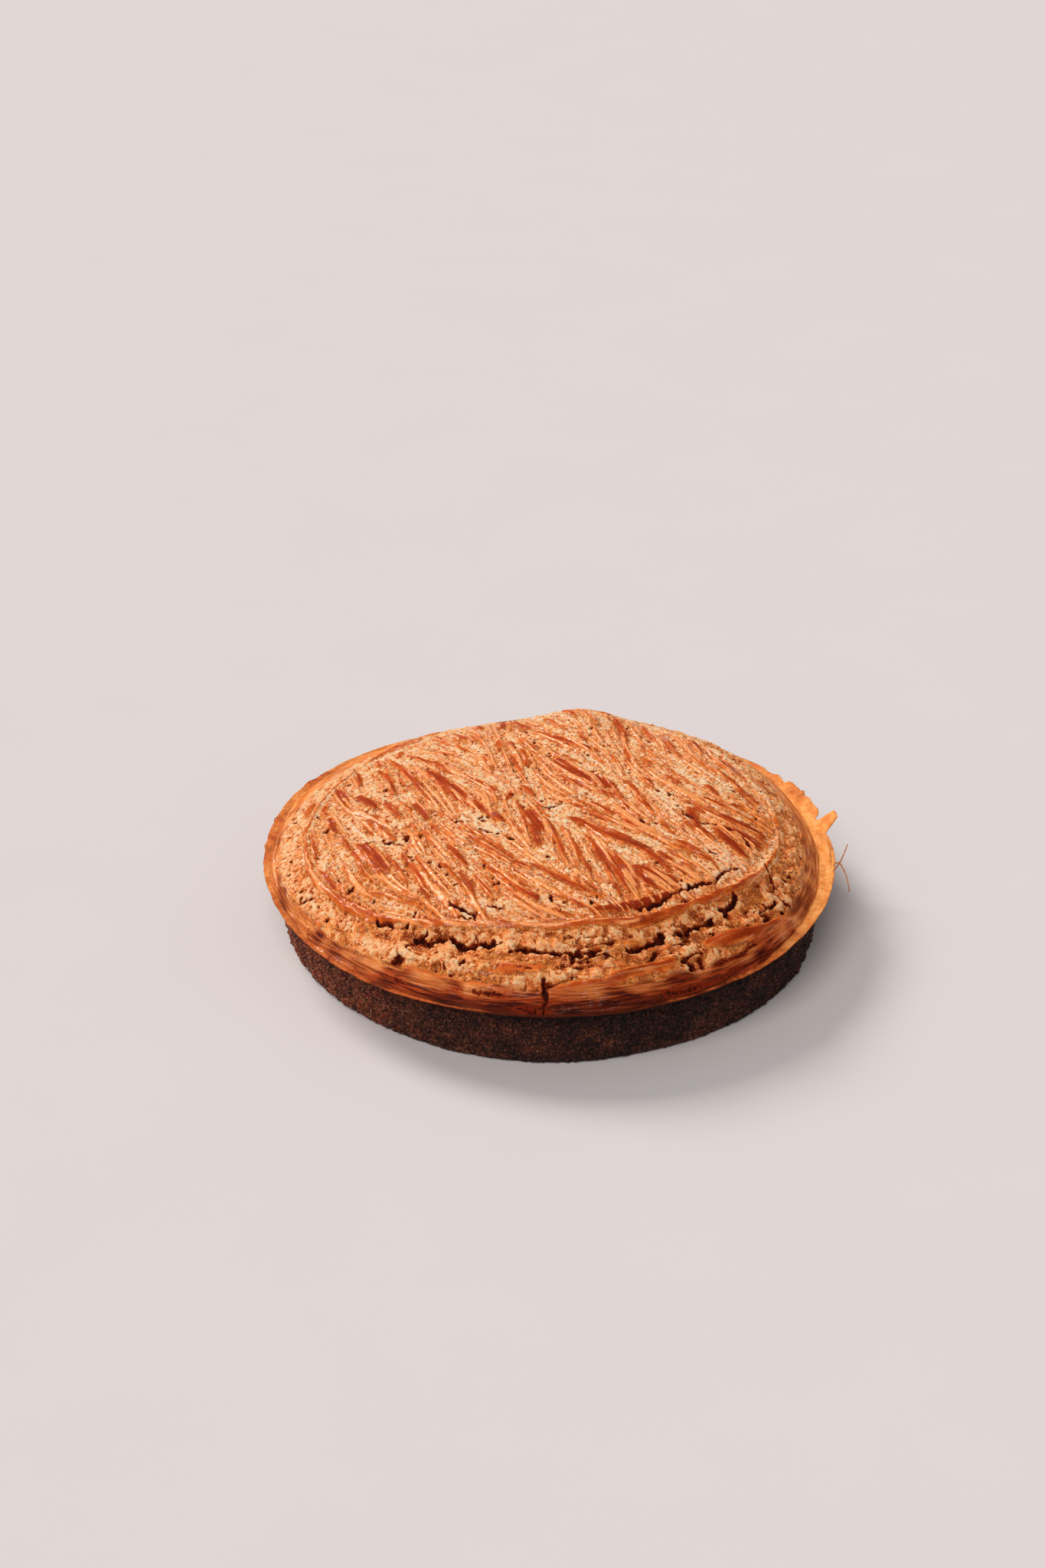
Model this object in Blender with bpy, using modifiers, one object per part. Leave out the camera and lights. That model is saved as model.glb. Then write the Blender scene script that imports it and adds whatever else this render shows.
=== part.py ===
"""A whole gateau breton, the butter cake of Brittany, as one solid piece of baked dough.

Units are metres and +Z is up.  The cake stands on its flat base at z = 0, centred on the Z axis.
Angles run anticlockwise from +X: the front of the cake, where its ring of crust tore open in the
oven, is at 270 degrees.  Radii inside the functions are fractions of the lip's radius.

The cake is turned from a profile first.  Functions of the angle then give it what turning can't:
a lip that waves up and down, shoulders of unlike height, a hump, the raised ring with its torn
trench, and a foot drawn in where the dough shrank from the tin.
"""

import bpy
import math
import numpy as np

# ---- driving sizes, in metres ------------------------------------------------------------
LIP_RADIUS = 0.100            # the thin overhanging edge of the crust, the widest part
CROWN_HEIGHT = 0.046          # the middle of the top above the table
CROWN_SWELL = 0.0050          # how far the middle stands above the shoulders
CENTRE_SHOULDER = 0.0410      # height that the shoulders blend to in the middle
LIP_THICKNESS = 0.0014        # the crust's thickness at its edge
TURNED_LIP = 0.0235           # the lip's height on the plain turning
FOOT_ROUNDING = 0.0016        # the soft corner round the base

# Values at 0, 45, 90, ... 315 degrees, joined by smooth curves.  BRIM is the lip's flat part.
LIP_HEIGHT = (0.0243, 0.0256, 0.0238, 0.0265, 0.0262, 0.0222, 0.0232, 0.0238)
SHOULDER_HEIGHT = (0.0378, 0.0398, 0.0380, 0.0325, 0.0335, 0.0385, 0.0420, 0.0410)
LIP_REACH = (0.988, 1.000, 0.990, 0.990, 0.990, 0.975, 1.000, 0.992)
BRIM = (0.056, 0.040, 0.030, 0.034, 0.038, 0.008, 0.004, 0.014)
FOOT_REACH = (0.925, 0.925, 0.925, 0.920, 0.915, 0.902, 0.925, 0.925)
RING_RADIUS = (0.800, 0.800, 0.800, 0.815, 0.820, 0.790, 0.752, 0.768)
RING_STRENGTH = (0.35, 0.25, 0.25, 0.35, 0.60, 0.90, 1.00, 1.00)
TEAR_STRENGTH = (0.10, 0.00, 0.00, 0.00, 0.10, 0.55, 1.00, 0.90)

# ---- the relief of the top, heights and depths in metres, widths in lip radii -------------
DOME_SQUARENESS = 7.0         # how flat the top stays before its shoulders turn down
HUMP = {"x": 0.11, "y": 0.74, "wide": 0.14, "deep": 0.17, "height": 0.0041}
RING_RIDGE = {"offset": 0.000, "width": 0.016, "height": 0.0008}
RING_STEP = {"offset": -0.036, "width": 0.014, "height": -0.0009}
TEAR = {"offset": 0.062, "width": 0.030, "height": -0.0022}
OUTER_RIDGE = {"radius": 0.895, "width": 0.016, "height": 0.0009}
LIP_CREASE = {"radius": 0.936, "width": 0.013, "height": -0.0006}
FLAP = {"angle": 17.0, "spread": 12.0, "lift": 0.0026, "from_radius": 0.945}
EDGE_RIPPLES = ((5, 0.9, 0.0018), (9, 2.1, 0.0014), (14, 0.4, 0.0010), (23, 1.3, 0.0007))
SIDE_RIPPLES = ((4, 2.6, 0.0030), (7, 0.3, 0.0020), (13, 1.9, 0.0012))
TORN_LUMPS = ((11, 38.0, 0.5), (17, -61.0, 2.2), (26, 47.0, 1.1))
LUMP_HEIGHT = 0.00045

# ---- fineness of the solid ---------------------------------------------------------------
COLUMNS = 108
COARSE_RADII = (0.13, 0.25, 0.36, 0.46, 0.55, 0.62, 0.68)
FINE_FROM = 0.715
FINE_STEP = 0.0175
FINE_RINGS = 16

CRUST_COLOUR = (0.60, 0.235, 0.075, 1.0)
CRUST_ROUGHNESS = 0.55


def around(values, angle):
    """Read a smooth closed curve through evenly spaced values at an angle in radians."""
    values = np.asarray(values, dtype=float)
    count = len(values)
    place = (np.asarray(angle) / math.tau) % 1.0 * count
    index = np.floor(place).astype(int)
    t = place - index
    before, start, end, after = (values[(index + step) % count] for step in (-1, 0, 1, 2))
    slope = end - before
    bend = 2 * before - 5 * start + 4 * end - after
    twist = 3 * start - before - 3 * end + after
    return 0.5 * (2 * start + slope * t + bend * t ** 2 + twist * t ** 3)


def swell(distance, width):
    """A smooth bump of height one, centred on distance zero."""
    return np.exp(-(distance / width) ** 2)


def ripple(waves, angle):
    """Add up (waves a turn, phase, size) sines."""
    return sum(size * np.sin(count * angle + phase) for count, phase, size in waves)


def dome_height(angle, radius):
    """Height of the smooth top at an angle and a fraction of the lip's radius."""
    inside = np.clip(radius / (1 - around(BRIM, angle)), 0.0, 1.0)
    blend = inside ** 2
    shoulder = CENTRE_SHOULDER * (1 - blend) + around(SHOULDER_HEIGHT, angle) * blend
    lip = around(LIP_HEIGHT, angle)
    height = lip + (shoulder - lip) * (1 - inside ** DOME_SQUARENESS)
    height = height + CROWN_SWELL * (1 - blend)
    across = (radius * np.cos(angle) - HUMP["x"]) / HUMP["wide"]
    back = (radius * np.sin(angle) - HUMP["y"]) / HUMP["deep"]
    return height + HUMP["height"] * np.exp(-across ** 2 - back ** 2)


def crust_relief(angle, radius):
    """The raised ring, the tear outside it, and the crease that sets off the lip."""
    ring = around(RING_RADIUS, angle)
    relief = np.zeros_like(radius)
    for feature, strength in (
        (RING_RIDGE, around(RING_STRENGTH, angle)),
        (RING_STEP, around(RING_STRENGTH, angle)),
        (TEAR, around(TEAR_STRENGTH, angle)),
    ):
        place = radius - ring - feature["offset"]
        relief = relief + feature["height"] * strength * swell(place, feature["width"])
    torn = around(TEAR_STRENGTH, angle) * swell(radius - ring - TEAR["offset"], 2 * TEAR["width"])
    for turns, spokes, phase in TORN_LUMPS:
        relief = relief + LUMP_HEIGHT * torn * np.sin(turns * angle + spokes * radius + phase)
    for feature in (OUTER_RIDGE, LIP_CREASE):
        relief = relief + feature["height"] * swell(radius - feature["radius"], feature["width"])
    turn = (np.degrees(angle) - FLAP["angle"] + 180) % 360 - 180
    rise = np.clip((radius - FLAP["from_radius"]) / (1 - FLAP["from_radius"]), 0, 1)
    return relief + FLAP["lift"] * rise ** 2 * swell(turn, FLAP["spread"])


def turned_profile():
    """The (radius, height) points of the plain turning, from the top's middle to the base's."""
    rings = list(COARSE_RADII)
    rings += [FINE_FROM + FINE_STEP * step for step in range(FINE_RINGS)]
    points = [(0.0, CROWN_HEIGHT)]
    for radius in rings:
        drop = (CROWN_HEIGHT - TURNED_LIP) * radius ** DOME_SQUARENESS
        points.append((radius * LIP_RADIUS, CROWN_HEIGHT - drop))
    points.append((LIP_RADIUS, TURNED_LIP))
    points.append((LIP_RADIUS - 0.0004, TURNED_LIP - LIP_THICKNESS))
    foot = FOOT_REACH[0] * LIP_RADIUS
    under = 0.955 * LIP_RADIUS
    under_height = TURNED_LIP - 2.4 * LIP_THICKNESS
    points.append((under, under_height))
    for share in (0.2, 0.4, 0.6, 0.8):
        height = under_height + (FOOT_ROUNDING - under_height) * share
        points.append((under + (foot - under) * share, height))
    points.append((foot, FOOT_ROUNDING))
    points.append((foot - FOOT_ROUNDING * 0.35, FOOT_ROUNDING * 0.3))
    points.append((foot - FOOT_ROUNDING, 0.0))
    points.append((foot * 0.5, 0.0))
    points.append((0.0, 0.0))
    return points


def turn_profile(points, collection):
    """Turn the profile about Z with a Screw modifier and return the evaluated mesh."""
    outline = bpy.data.meshes.new("cake_profile")
    edges = [(index, index + 1) for index in range(len(points) - 1)]
    outline.from_pydata([(radius, 0.0, height) for radius, height in points], edges, [])
    turning = bpy.data.objects.new("cake_turning", outline)
    collection.objects.link(turning)
    screw = turning.modifiers.new("turn", "SCREW")
    screw.axis = "Z"
    screw.angle = math.tau
    screw.steps = COLUMNS
    screw.render_steps = COLUMNS
    screw.use_merge_vertices = True
    screw.merge_threshold = 0.0001
    graph = bpy.context.evaluated_depsgraph_get()
    mesh = bpy.data.meshes.new_from_object(turning.evaluated_get(graph))
    bpy.data.objects.remove(turning)
    bpy.data.meshes.remove(outline)
    return mesh


def bake_shape(mesh):
    """Move the turned points to the cake's real, uneven shape, and centre it on the Z axis."""
    flat = np.empty(len(mesh.vertices) * 3, dtype=np.float32)
    mesh.vertices.foreach_get("co", flat)
    points = flat.reshape(-1, 3).astype(float)
    angle = np.arctan2(points[:, 1], points[:, 0])
    radius = np.hypot(points[:, 0], points[:, 1]) / LIP_RADIUS
    up = np.clip(points[:, 2] / TURNED_LIP, 0.0, 1.0)

    lip = around(LIP_REACH, angle) + ripple(EDGE_RIPPLES, angle)
    foot = around(FOOT_REACH, angle) / FOOT_REACH[0] + ripple(SIDE_RIPPLES, angle) * (1 - up)
    middle = 1 - np.clip(radius / FINE_FROM, 0.0, 1.0) ** 2
    reach = (lip * up + foot * (1 - up)) * (1 - middle) + middle

    on_top = points[:, 2] >= TURNED_LIP - LIP_THICKNESS / 2
    top_height = dome_height(angle, radius) + crust_relief(angle, radius)
    edge_height = around(LIP_HEIGHT, angle) + crust_relief(angle, np.ones_like(radius))
    side_height = points[:, 2] * edge_height / TURNED_LIP

    new_radius = radius * reach * LIP_RADIUS
    points[:, 0] = new_radius * np.cos(angle)
    points[:, 1] = new_radius * np.sin(angle)
    points[:, 2] = np.where(on_top, top_height, side_height)
    centre = (points[:, :2].min(axis=0) + points[:, :2].max(axis=0)) / 2
    points[:, :2] -= centre
    mesh.vertices.foreach_set("co", points.astype(np.float32).ravel())
    mesh.update()


def crust_material():
    """Egg-washed, well-baked crust."""
    material = bpy.data.materials.new("golden_crust")
    material.use_nodes = True
    shader = material.node_tree.nodes["Principled BSDF"]
    shader.inputs["Base Color"].default_value = CRUST_COLOUR
    shader.inputs["Roughness"].default_value = CRUST_ROUGHNESS
    shader.inputs["Metallic"].default_value = 0.0
    return material


def build():
    for thing in list(bpy.data.objects):
        bpy.data.objects.remove(thing)
    collection = bpy.data.collections.new("breton_butter_cake")
    bpy.context.scene.collection.children.link(collection)
    mesh = turn_profile(turned_profile(), collection)
    mesh.name = "cake"
    bake_shape(mesh)
    mesh.materials.append(crust_material())
    cake = bpy.data.objects.new("cake", mesh)
    collection.objects.link(cake)
    mesh.shade_smooth()
    mesh.set_sharp_from_angle(angle=math.radians(50))


build()
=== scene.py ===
"""Looks of a whole gateau breton, a round butter cake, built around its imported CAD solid.

The top is four closed meshes, a disc and three rings that overlap a little, the last with the
lip.  A fifth is the side with the base, and a sixth the two loose threads of crust.  The fine shape
of the top comes from fields worked out on a grid that lies over it, in units of a hundredth of the
lip's radius (one millimetre on this cake): +X to the right, +Y to the back.  Angles run
anticlockwise from +X, so the torn front is at 270 degrees.
"""

import math

import bpy
import numpy as np
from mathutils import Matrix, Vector


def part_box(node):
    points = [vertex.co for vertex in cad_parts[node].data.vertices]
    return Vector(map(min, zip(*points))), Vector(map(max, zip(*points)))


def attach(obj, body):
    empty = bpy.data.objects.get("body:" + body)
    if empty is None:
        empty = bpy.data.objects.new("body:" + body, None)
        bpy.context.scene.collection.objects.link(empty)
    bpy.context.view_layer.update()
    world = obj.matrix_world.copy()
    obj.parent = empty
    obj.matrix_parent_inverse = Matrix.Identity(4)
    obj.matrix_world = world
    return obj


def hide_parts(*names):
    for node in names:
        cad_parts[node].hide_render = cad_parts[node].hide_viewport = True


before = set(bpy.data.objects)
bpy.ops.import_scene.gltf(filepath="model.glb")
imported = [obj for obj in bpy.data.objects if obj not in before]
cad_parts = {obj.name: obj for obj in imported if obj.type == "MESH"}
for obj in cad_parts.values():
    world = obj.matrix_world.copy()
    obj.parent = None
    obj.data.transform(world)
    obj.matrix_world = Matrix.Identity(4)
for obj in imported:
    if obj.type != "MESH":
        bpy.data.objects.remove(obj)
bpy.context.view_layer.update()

SEED = 7
TAU = math.tau

# ---- the cake's own sizes, in hundredths of the lip's radius ---------------------------------
CROWN_SWELL = 5.0
CENTRE_SHOULDER = 41.0
DOME_SQUARENESS = 7.0

# Values at even steps round the cake from 0 degrees, joined by smooth curves.
LIP_HEIGHT = (24.3, 25.6, 23.8, 26.5, 26.2, 22.2, 23.2, 23.8)
SHOULDER_HEIGHT = (37.8, 39.8, 38.0, 32.5, 33.5, 38.5, 42.0, 41.0)
LIP_REACH = (0.988, 1.000, 0.990, 0.990, 0.990, 0.975, 1.000, 0.992)
FOOT_REACH = (0.925, 0.925, 0.925, 0.920, 0.915, 0.902, 0.925, 0.925)
RING_RADIUS = (79.5, 80, 80, 80, 80, 80, 81, 83, 84, 85, 82.5, 76.5, 74, 75.8, 76.5, 78.4)
RING_STRENGTH = (0.25, 0.15, 0.1, 0.1, 0.1, 0.1, 0.2, 0.4, 0.6, 0.7, 1, 0.75, 1, 1, 1, 0.6)
TEAR_STRENGTH = (0.15, 0, 0, 0, 0, 0, 0, 0, 0.05, 0.25, 0.6, 0.95, 1, 1, 0.95, 0.6)
FLANGE_WIDTH = (5.4, 4.6, 1.8, 1.0, 1.0, 1.2, 2.0, 3.0, 3.2, 1.5, 1.0, 1.1, 1.1, 1.1, 1.6, 4.0)
BAND_WIDTH = (6.0, 7.5, 8.0, 9.0, 9.0, 8.5, 8.0, 5.0, 2.2, 3.0, 4.0, 4.6, 4.6, 4.6, 4.4, 4.4)
# Browning of the flange and of the band round it; its rise towards the front, which faces away from the
# light, is partly painted shade.
FLANGE_BAKE_AND_SHADE = (0.1, 0.3, 0.5, 0.5, 0.4, 0.4, 0.5, 0.6, 0.6, 0.65, 0.8, 1.0, 1.4, 1.2, 0.75, 0.2)
BAND_BAKE_AND_SHADE = (0.45, 0.4, 0.4, 0.4, 0.35, 0.3, 0.3, 0.4, 0.5, 0.65, 0.75, 0.95, 1.1, 1.05, 0.85, 0.6)
# Painted shade round the side: darkest at the front right, away from the light, lightest at the left front.
SIDE_SHADE = (0.9, 0.8, 0.6, 0.5, 0.4, 0.3, 0.25, 0.3, 0.25, 0.2, 0.35, 0.75, 0.95, 1.0, 1.0, 1.0)
EDGE_RIPPLES = ((5, 0.9, 0.0018), (9, 2.1, 0.0014), (14, 0.4, 0.0010), (23, 1.3, 0.0007))
SIDE_RIPPLES = ((4, 2.6, 0.0030), (7, 0.3, 0.0020), (13, 1.9, 0.0012))
HUMP = {"x": 11.0, "y": 74.0, "wide": 14.0, "deep": 17.0, "height": 4.1}

# ---- what a fork left of the egg wash --------------------------------------------------------
# Each strip of glaze: where it starts, where it ends, how far its middle bows to its left, width.
STRIPS = (
    # front, left of the middle
    (-29, -13, -10, -38, -0.8, 2.0), (-28, -20, -5, -46, -1.0, 2.5), (-26, -29, -11, -40, -0.5, 1.1),
    (-23, -36, -5, -55, -0.8, 1.7), (-21, -41, -8, -57, -0.6, 2.3), (-35, -27, -27, -42, 1.0, 2.3),
    (-37, -37, -26, -59, 1.2, 1.9), (-31, -42, -24, -60, 0.8, 1.7), (-25, -46, -18, -62, 1.0, 2.0),
    (-21, -47, -16, -58, 0.6, 1.0), (-16, -51, -9, -62, 0.6, 1.9), (-10, -55, -3, -61, 0.2, 3.2),
    (-19, -28, -8, -41, -0.4, 0.9), (-33, -31, -29, -38, 0.4, 1.6),
    # front, middle
    (-12, 3, -8, -18, 0.6, 1.8), (-9, -7, -3, -31, 0.8, 3.8), (-2, -10, 6, -41, 1.0, 2.3),
    (4, -16, 15, -51, 0.8, 2.0), (12, -22, 24, -60, 0.6, 2.1), (-8, 0, 0, -10, 0.3, 1.7),
    (-6, 3, -2, -4, 0.2, 1.3), (-7, -40, 18, -61, -0.6, 2.4), (-1, -43, 10, -55, 0.2, 1.5),
    (-3, -51, 12, -66, -0.4, 1.9), (-12, -61, 9, -69, -0.8, 1.9), (8, -49, 19, -60, 0.2, 1.2),
    (0, -18, 2, -34, 0.4, 1.0), (8, -24, 11, -42, 0.3, 1.1),
    # front, right
    (7, -10, 33, -31, 0.5, 4.6), (30, -29, 41, -43, 0.9, 3.0), (10, -6, 48, -30, 1.4, 1.7),
    (8, -1, 27, -16, 0.4, 2.5), (9, 2, 37, -18, 0.8, 1.8), (15, 0, 22, -8, 0.2, 2.5),
    (25, -11, 33, -18, 0.3, 3.2), (36, -6, 43, -20, 0.5, 1.6), (43, -22, 53, -33, 0.5, 3.0),
    (39, -28, 48, -41, 0.4, 1.6), (36, -31, 42, -38, 0.2, 2.2), (42, -39, 49, -43, 0.2, 3.0),
    (52, -28, 56, -38, 0.5, 1.5), (30, -20, 44, -30, 0.5, 1.0),
    # right
    (26, 17, 35, -4, 0.8, 2.8), (22, 11, 27, -3, 0.3, 2.4), (33, 21, 36, 13, 0.2, 2.2),
    (40, 24, 46, 17, 0.2, 2.2), (41, 16, 50, 7, 0.3, 2.7), (32, 37, 36, 29, 0.2, 1.6),
    (39, 31, 48, 19, 0.4, 1.6), (50, 39, 67, 23, 0.6, 2.4), (60, 31, 73, 11, 0.8, 2.1),
    (54, 19, 59, 12, 0.2, 2.1), (48, 12, 76, -4, 0.8, 1.6), (45, 6, 76, -15, 2.0, 1.8),
    (57, 11, 77, 0, 0.6, 1.6), (50, 1, 74, -10, 1.2, 3.6), (46, -9, 56, -19, 0.4, 3.0),
    (56, -12, 67, -28, 0.6, 3.4), (48, 2, 51, -13, 0.4, 2.8), (62, 5, 74, -6, 0.6, 1.3),
    (66, 20, 72, 6, 0.3, 1.3), (74, 34, 80, 14, 0.5, 1.6), (70, 44, 77, 26, 0.5, 1.8),
    # back
    (-14, 77, -7, 60, -0.4, 2.6), (-5, 58, 17, 40, -1.0, 2.7), (-11, 51, -4, 43, -0.4, 2.1),
    (0, 41, 8, 30, -0.6, 2.5), (5, 37, 11, 30, -0.2, 1.4), (10, 56, 13, 48, 0.0, 1.6),
    (23, 72, 27, 49, 0.8, 2.8), (27, 46, 28, 31, 0.0, 1.7), (16, 37, 19, 30, 0.0, 1.6),
    (-10, 42, -8, 27, 0.3, 2.4), (-15, 51, -12, 38, 0.2, 2.0), (40, 60, 46, 38, 0.6, 2.4),
    (50, 66, 54, 45, 0.5, 3.2), (66, 61, 71, 43, 0.4, 2.1), (33, 68, 38, 52, 0.4, 2.2),
    (-10, 13, -5, 5, 0.2, 2.4), (1, 13, 7, 5, -1.4, 1.7), (-13, 9, -15, 3, 0.1, 2.3),
    (-14, 38, -8, 14, 0.6, 2.1), (4, 80, 9, 66, 0.3, 2.2), (-2, 70, 6, 56, -0.3, 1.3),
    (36, 84, 42, 70, 0.3, 2.4), (56, 76, 62, 62, 0.3, 2.0), (14, 72, 17, 60, 0.2, 1.8),
    # back, left
    (-29, 79, -25, 68, 0.3, 3.0), (-17, 77, -18, 65, 0.2, 2.6), (-34, 66, -30, 56, 0.3, 1.9),
    (-29, 61, -26, 54, 0.1, 1.9), (-40, 60, -29, 43, 0.4, 2.3), (-41, 47, -34, 41, 0.0, 1.6),
    (-51, 49, -26, 19, -0.8, 2.5), (-57, 46, -41, 2, 0.8, 2.8), (-61, 39, -54, 13, 0.8, 2.4),
    (-63, 54, -60, 41, 0.2, 1.9), (-69, 43, -67, 27, 0.2, 2.0), (-54, 56, -54, 47, 0.0, 2.1),
    (-67, 18, -60, 5, 0.4, 3.4), (-26, 19, -18, 8, 0.0, 2.7), (-23, 39, -20, 27, 0.2, 2.1),
    (-18, 53, -18, 41, 0.0, 2.2), (-41, 23, -32, 3, 0.4, 2.4), (-48, 34, -43, 20, 0.3, 1.5),
    (-76, 32, -71, 12, 0.6, 3.4), (-44, 74, -40, 60, 0.3, 2.4), (-74, 52, -71, 38, 0.3, 2.4),
    (-54, 30, -50, 14, 0.3, 1.1), (-36, 34, -29, 24, 0.0, 1.2), (-80, 22, -78, 8, 0.2, 2.4),
    # left
    (-70, 9, -55, -7, -0.6, 2.3), (-57, 9, -51, -7, 0.4, 2.5), (-48, 5, -41, -9, 0.4, 2.8),
    (-84, 6, -79, -26, 0.6, 2.0), (-80, -24, -70, -45, 1.0, 2.2), (-73, -9, -59, -45, 1.4, 1.7),
    (-69, -17, -62, -37, 0.6, 1.5), (-66, -19, -54, -46, 0.8, 2.4), (-50, -29, -39, -59, 1.2, 2.6),
    (-45, -32, -40, -46, 0.4, 1.5), (-55, -29, -47, -48, 0.8, 1.9), (-61, -47, -41, -61, 1.2, 1.7),
    (-58, -48, -45, -58, 0.6, 1.1), (-60, -7, -52, -21, 0.6, 2.0), (-43, -14, -41, -26, 0.1, 1.3),
    (-41, -11, -36, -21, 0.2, 1.5), (-52, 8, -47, -4, 0.2, 1.5), (-64, -4, -60, -14, 0.3, 2.6),
    (-77, 6, -74, -8, 0.2, 3.0), (-90, 14, -88, -4, 0.2, 1.6), (-47, -10, -44, -20, 0.3, 1.4),
)
# Glaze that no tine crossed: thick strokes, written as the strips are.
PATCHES = (
    (17, -31, 28, -56, 1.0, 8.0), (26, -43, 42, -51, 0.5, 11.0), (14, -67, 42, -54, -1.5, 5.5),
    (3, 33, 22, 12, -2.0, 8.5), (2, 20, 24, 4, -0.4, 3.2), (-43, 30, -29, 7, -0.6, 5.5),
    (-31, 9, -15, -13, -0.6, 5.0), (-8, -6, -2, -19, 0.3, 7.0), (-65, -18, -54, -39, 0.9, 5.2),
    (61, 42, 67, 33, 0.3, 7.0), (58, -10, 72, -16, 0.4, 5.5), (57, -17, 66, -25, 0.4, 4.0),
)
# Splits in the crust, written as the strips are.
CRACKS = (
    (28, -64.5, 43, -54, -0.8, 1.3), (43, -54, 55, -46, 0.8, 1.9), (55, -46, 59.5, -36, 0.6, 1.3),
    (59.5, -36, 64, -33, 0.2, 1.0), (58, -30, 52, -23, 0.2, 0.9), (-33, -60, -23, -67, -0.8, 1.5),
    (-20, -63, -14, -66, 0.0, 1.0), (-57, -19, -49, -24, -0.3, 1.4), (-32, -10.5, -27.5, -10.8, 0.2, 1.1),
    (-24, -16, -18.5, -20, -0.2, 1.2), (63, 15, 70, 9, -0.6, 1.2), (45.5, -1.5, 51, -7, 0.0, 1.3),
    (51, -7, 59, -10, -0.2, 1.1), (65, -14, 68, -19, 0.2, 1.0), (31, -8, 33, -12, 0.1, 1.4),
    (73, -27, 76, -36, -0.5, 0.9), (-31, -67, -24, -68, 0.0, 0.8), (-16, -51, -18, -53, 0.0, 1.2),
    (0, -58, 1.5, -62, 0.2, 0.9), (46, -49, 48, -51, 0.0, 2.0), (-48, -18, -48, -23, 0.1, 1.8),
    (-2.5, -91.0, -1.2, -99.5, 0.9, 1.4), (-3.4, -97.6, -5.5, -98.4, 0.0, 0.8),
)
# Larger pits: place and radius.
PITS = (
    (-12.5, -25, 1.6), (62, -11, 2.3), (-77, -2.5, 2.0), (-66, -43, 1.5), (42, 9.5, 1.4), (37.5, 12, 1.3),
    (14, -63, 1.3), (-37, -3.5, 0.8), (-29.5, -10.8, 1.3), (58, -58, 2.3), (62, -50, 1.5), (-9, 59, 1.3),
    (15, 57.5, 1.0), (6, 45, 1.2), (-40, -37, 1.3), (36, -38, 1.2), (32, -39.5, 1.2), (72, 27, 1.2),
    (-54, 49, 1.2), (-13.5, 6.5, 1.2), (-83, -33, 1.1), (79, -29.5, 1.0), (-74, -51, 0.8), (9.8, 3.5, 0.8),
)
# Arcs round the rim: start and end angle, start and end radius, width, depth (ridges are raised).
TEAR_ARCS = (
    (226, 237, 83.8, 80.5, 1.0, 1.3), (237, 247, 84.2, 82.2, 1.4, 1.7), (246, 260, 81.6, 80.0, 1.9, 2.8),
    (262, 284, 82.0, 84.5, 1.7, 2.6), (286, 298, 85.0, 82.6, 2.0, 2.6), (299, 312, 82.9, 81.6, 1.9, 2.3),
    (313, 322, 81.0, 78.6, 1.6, 2.1), (320, 331, 86.5, 87.4, 1.3, 1.7), (272, 280, 87.6, 87.9, 0.9, 1.2),
    (254, 268, 86.6, 88.0, 0.9, 1.0), (303, 312, 87.4, 88.2, 1.0, 1.2), (330, 345, 84.0, 85.6, 0.8, 0.8),
)
RIDGE_ARCS = (
    (266, 299, 95.4, 91.0, 1.7, 0.8), (303, 332, 88.6, 93.6, 2.0, 1.0), (238, 264, 92.0, 94.6, 1.6, 0.6),
    (196, 240, 93.4, 92.6, 1.2, 0.35), (264, 300, 95.2, 95.6, 1.0, 0.35), (205, 262, 96.2, 96.4, 0.9, 0.3),
    (334, 372, 88.2, 87.6, 1.0, 0.35), (338, 366, 85.6, 85.4, 0.8, 0.3),
)

# The thin edge, torn and turned up at the right: angle in degrees, how far it reaches out, how far it
# stands up.  Then small teeth elsewhere: angle, reach, lift, width in degrees.
FIN = (
    (-14, 0.0, 0.0), (-6, 0.1, 0.3), (3, 0.2, 0.4), (8, 0.0, 0.4), (9.6, -0.2, 0.4), (10.2, 1.0, 1.4),
    (10.7, 3.0, 3.4), (11.2, 4.6, 5.0), (12.3, 4.6, 5.4), (13.5, 4.2, 5.2), (14.0, 2.8, 3.6),
    (14.5, 1.0, 1.4), (15.2, -1.0, 0.3), (16.0, -1.0, 0.3), (16.8, 0.8, 1.0), (18.0, 1.6, 1.6),
    (20.0, 1.4, 1.4), (22.2, 1.6, 2.0), (24.0, 1.0, 1.4), (25.0, 1.6, 2.2), (26.5, 0.8, 1.2),
    (29.0, 1.0, 1.8), (30.5, 0.8, 1.6), (31.3, -0.3, 0.4), (34.0, 0.4, 1.0), (36.0, 0.0, 0.4),
    (40.0, 0.3, 0.8), (46.0, 0.1, 0.3), (52.0, 0.0, 0.0),
)
EDGE_TEETH = ((151, 0.3, 0.4, 1.6), (167.5, 0.3, 0.3, 0.9), (178, 0.3, 0.2, 0.8), (321, 1.1, 0.9, 2.2))
# The lip's turned-under rows: how far in, how far down, the same where the edge is a thin fin, and
# how much of the fin's shape the row keeps.
LIP_FOLDS = (
    (-0.05, 0.25, 0.12, 1.0), (0.1, 0.6, 0.34, 1.0), (0.6, 0.95, 0.5, 0.92), (1.6, 1.4, 0.7, 0.66),
    (4.0, 2.2, 1.6, 0.15), (6.5, 2.6, 2.6, 0.0),
)
# Thin threads of crust at the right of the lip: points (x, y, height) along each.
WISPS = (
    ((97.0, -10.5, 24.0), (100.0, -6.0, 25.2), (101.8, -3.0, 27.0), (103.5, 0.5, 29.6)),
    ((97.0, -3.8, 24.2), (100.3, -3.5, 24.4), (101.6, -5.5, 23.6), (102.8, -9.5, 22.0), (103.4, -14.5, 19.5)),
)
WISP_RADIUS = 0.3

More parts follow.
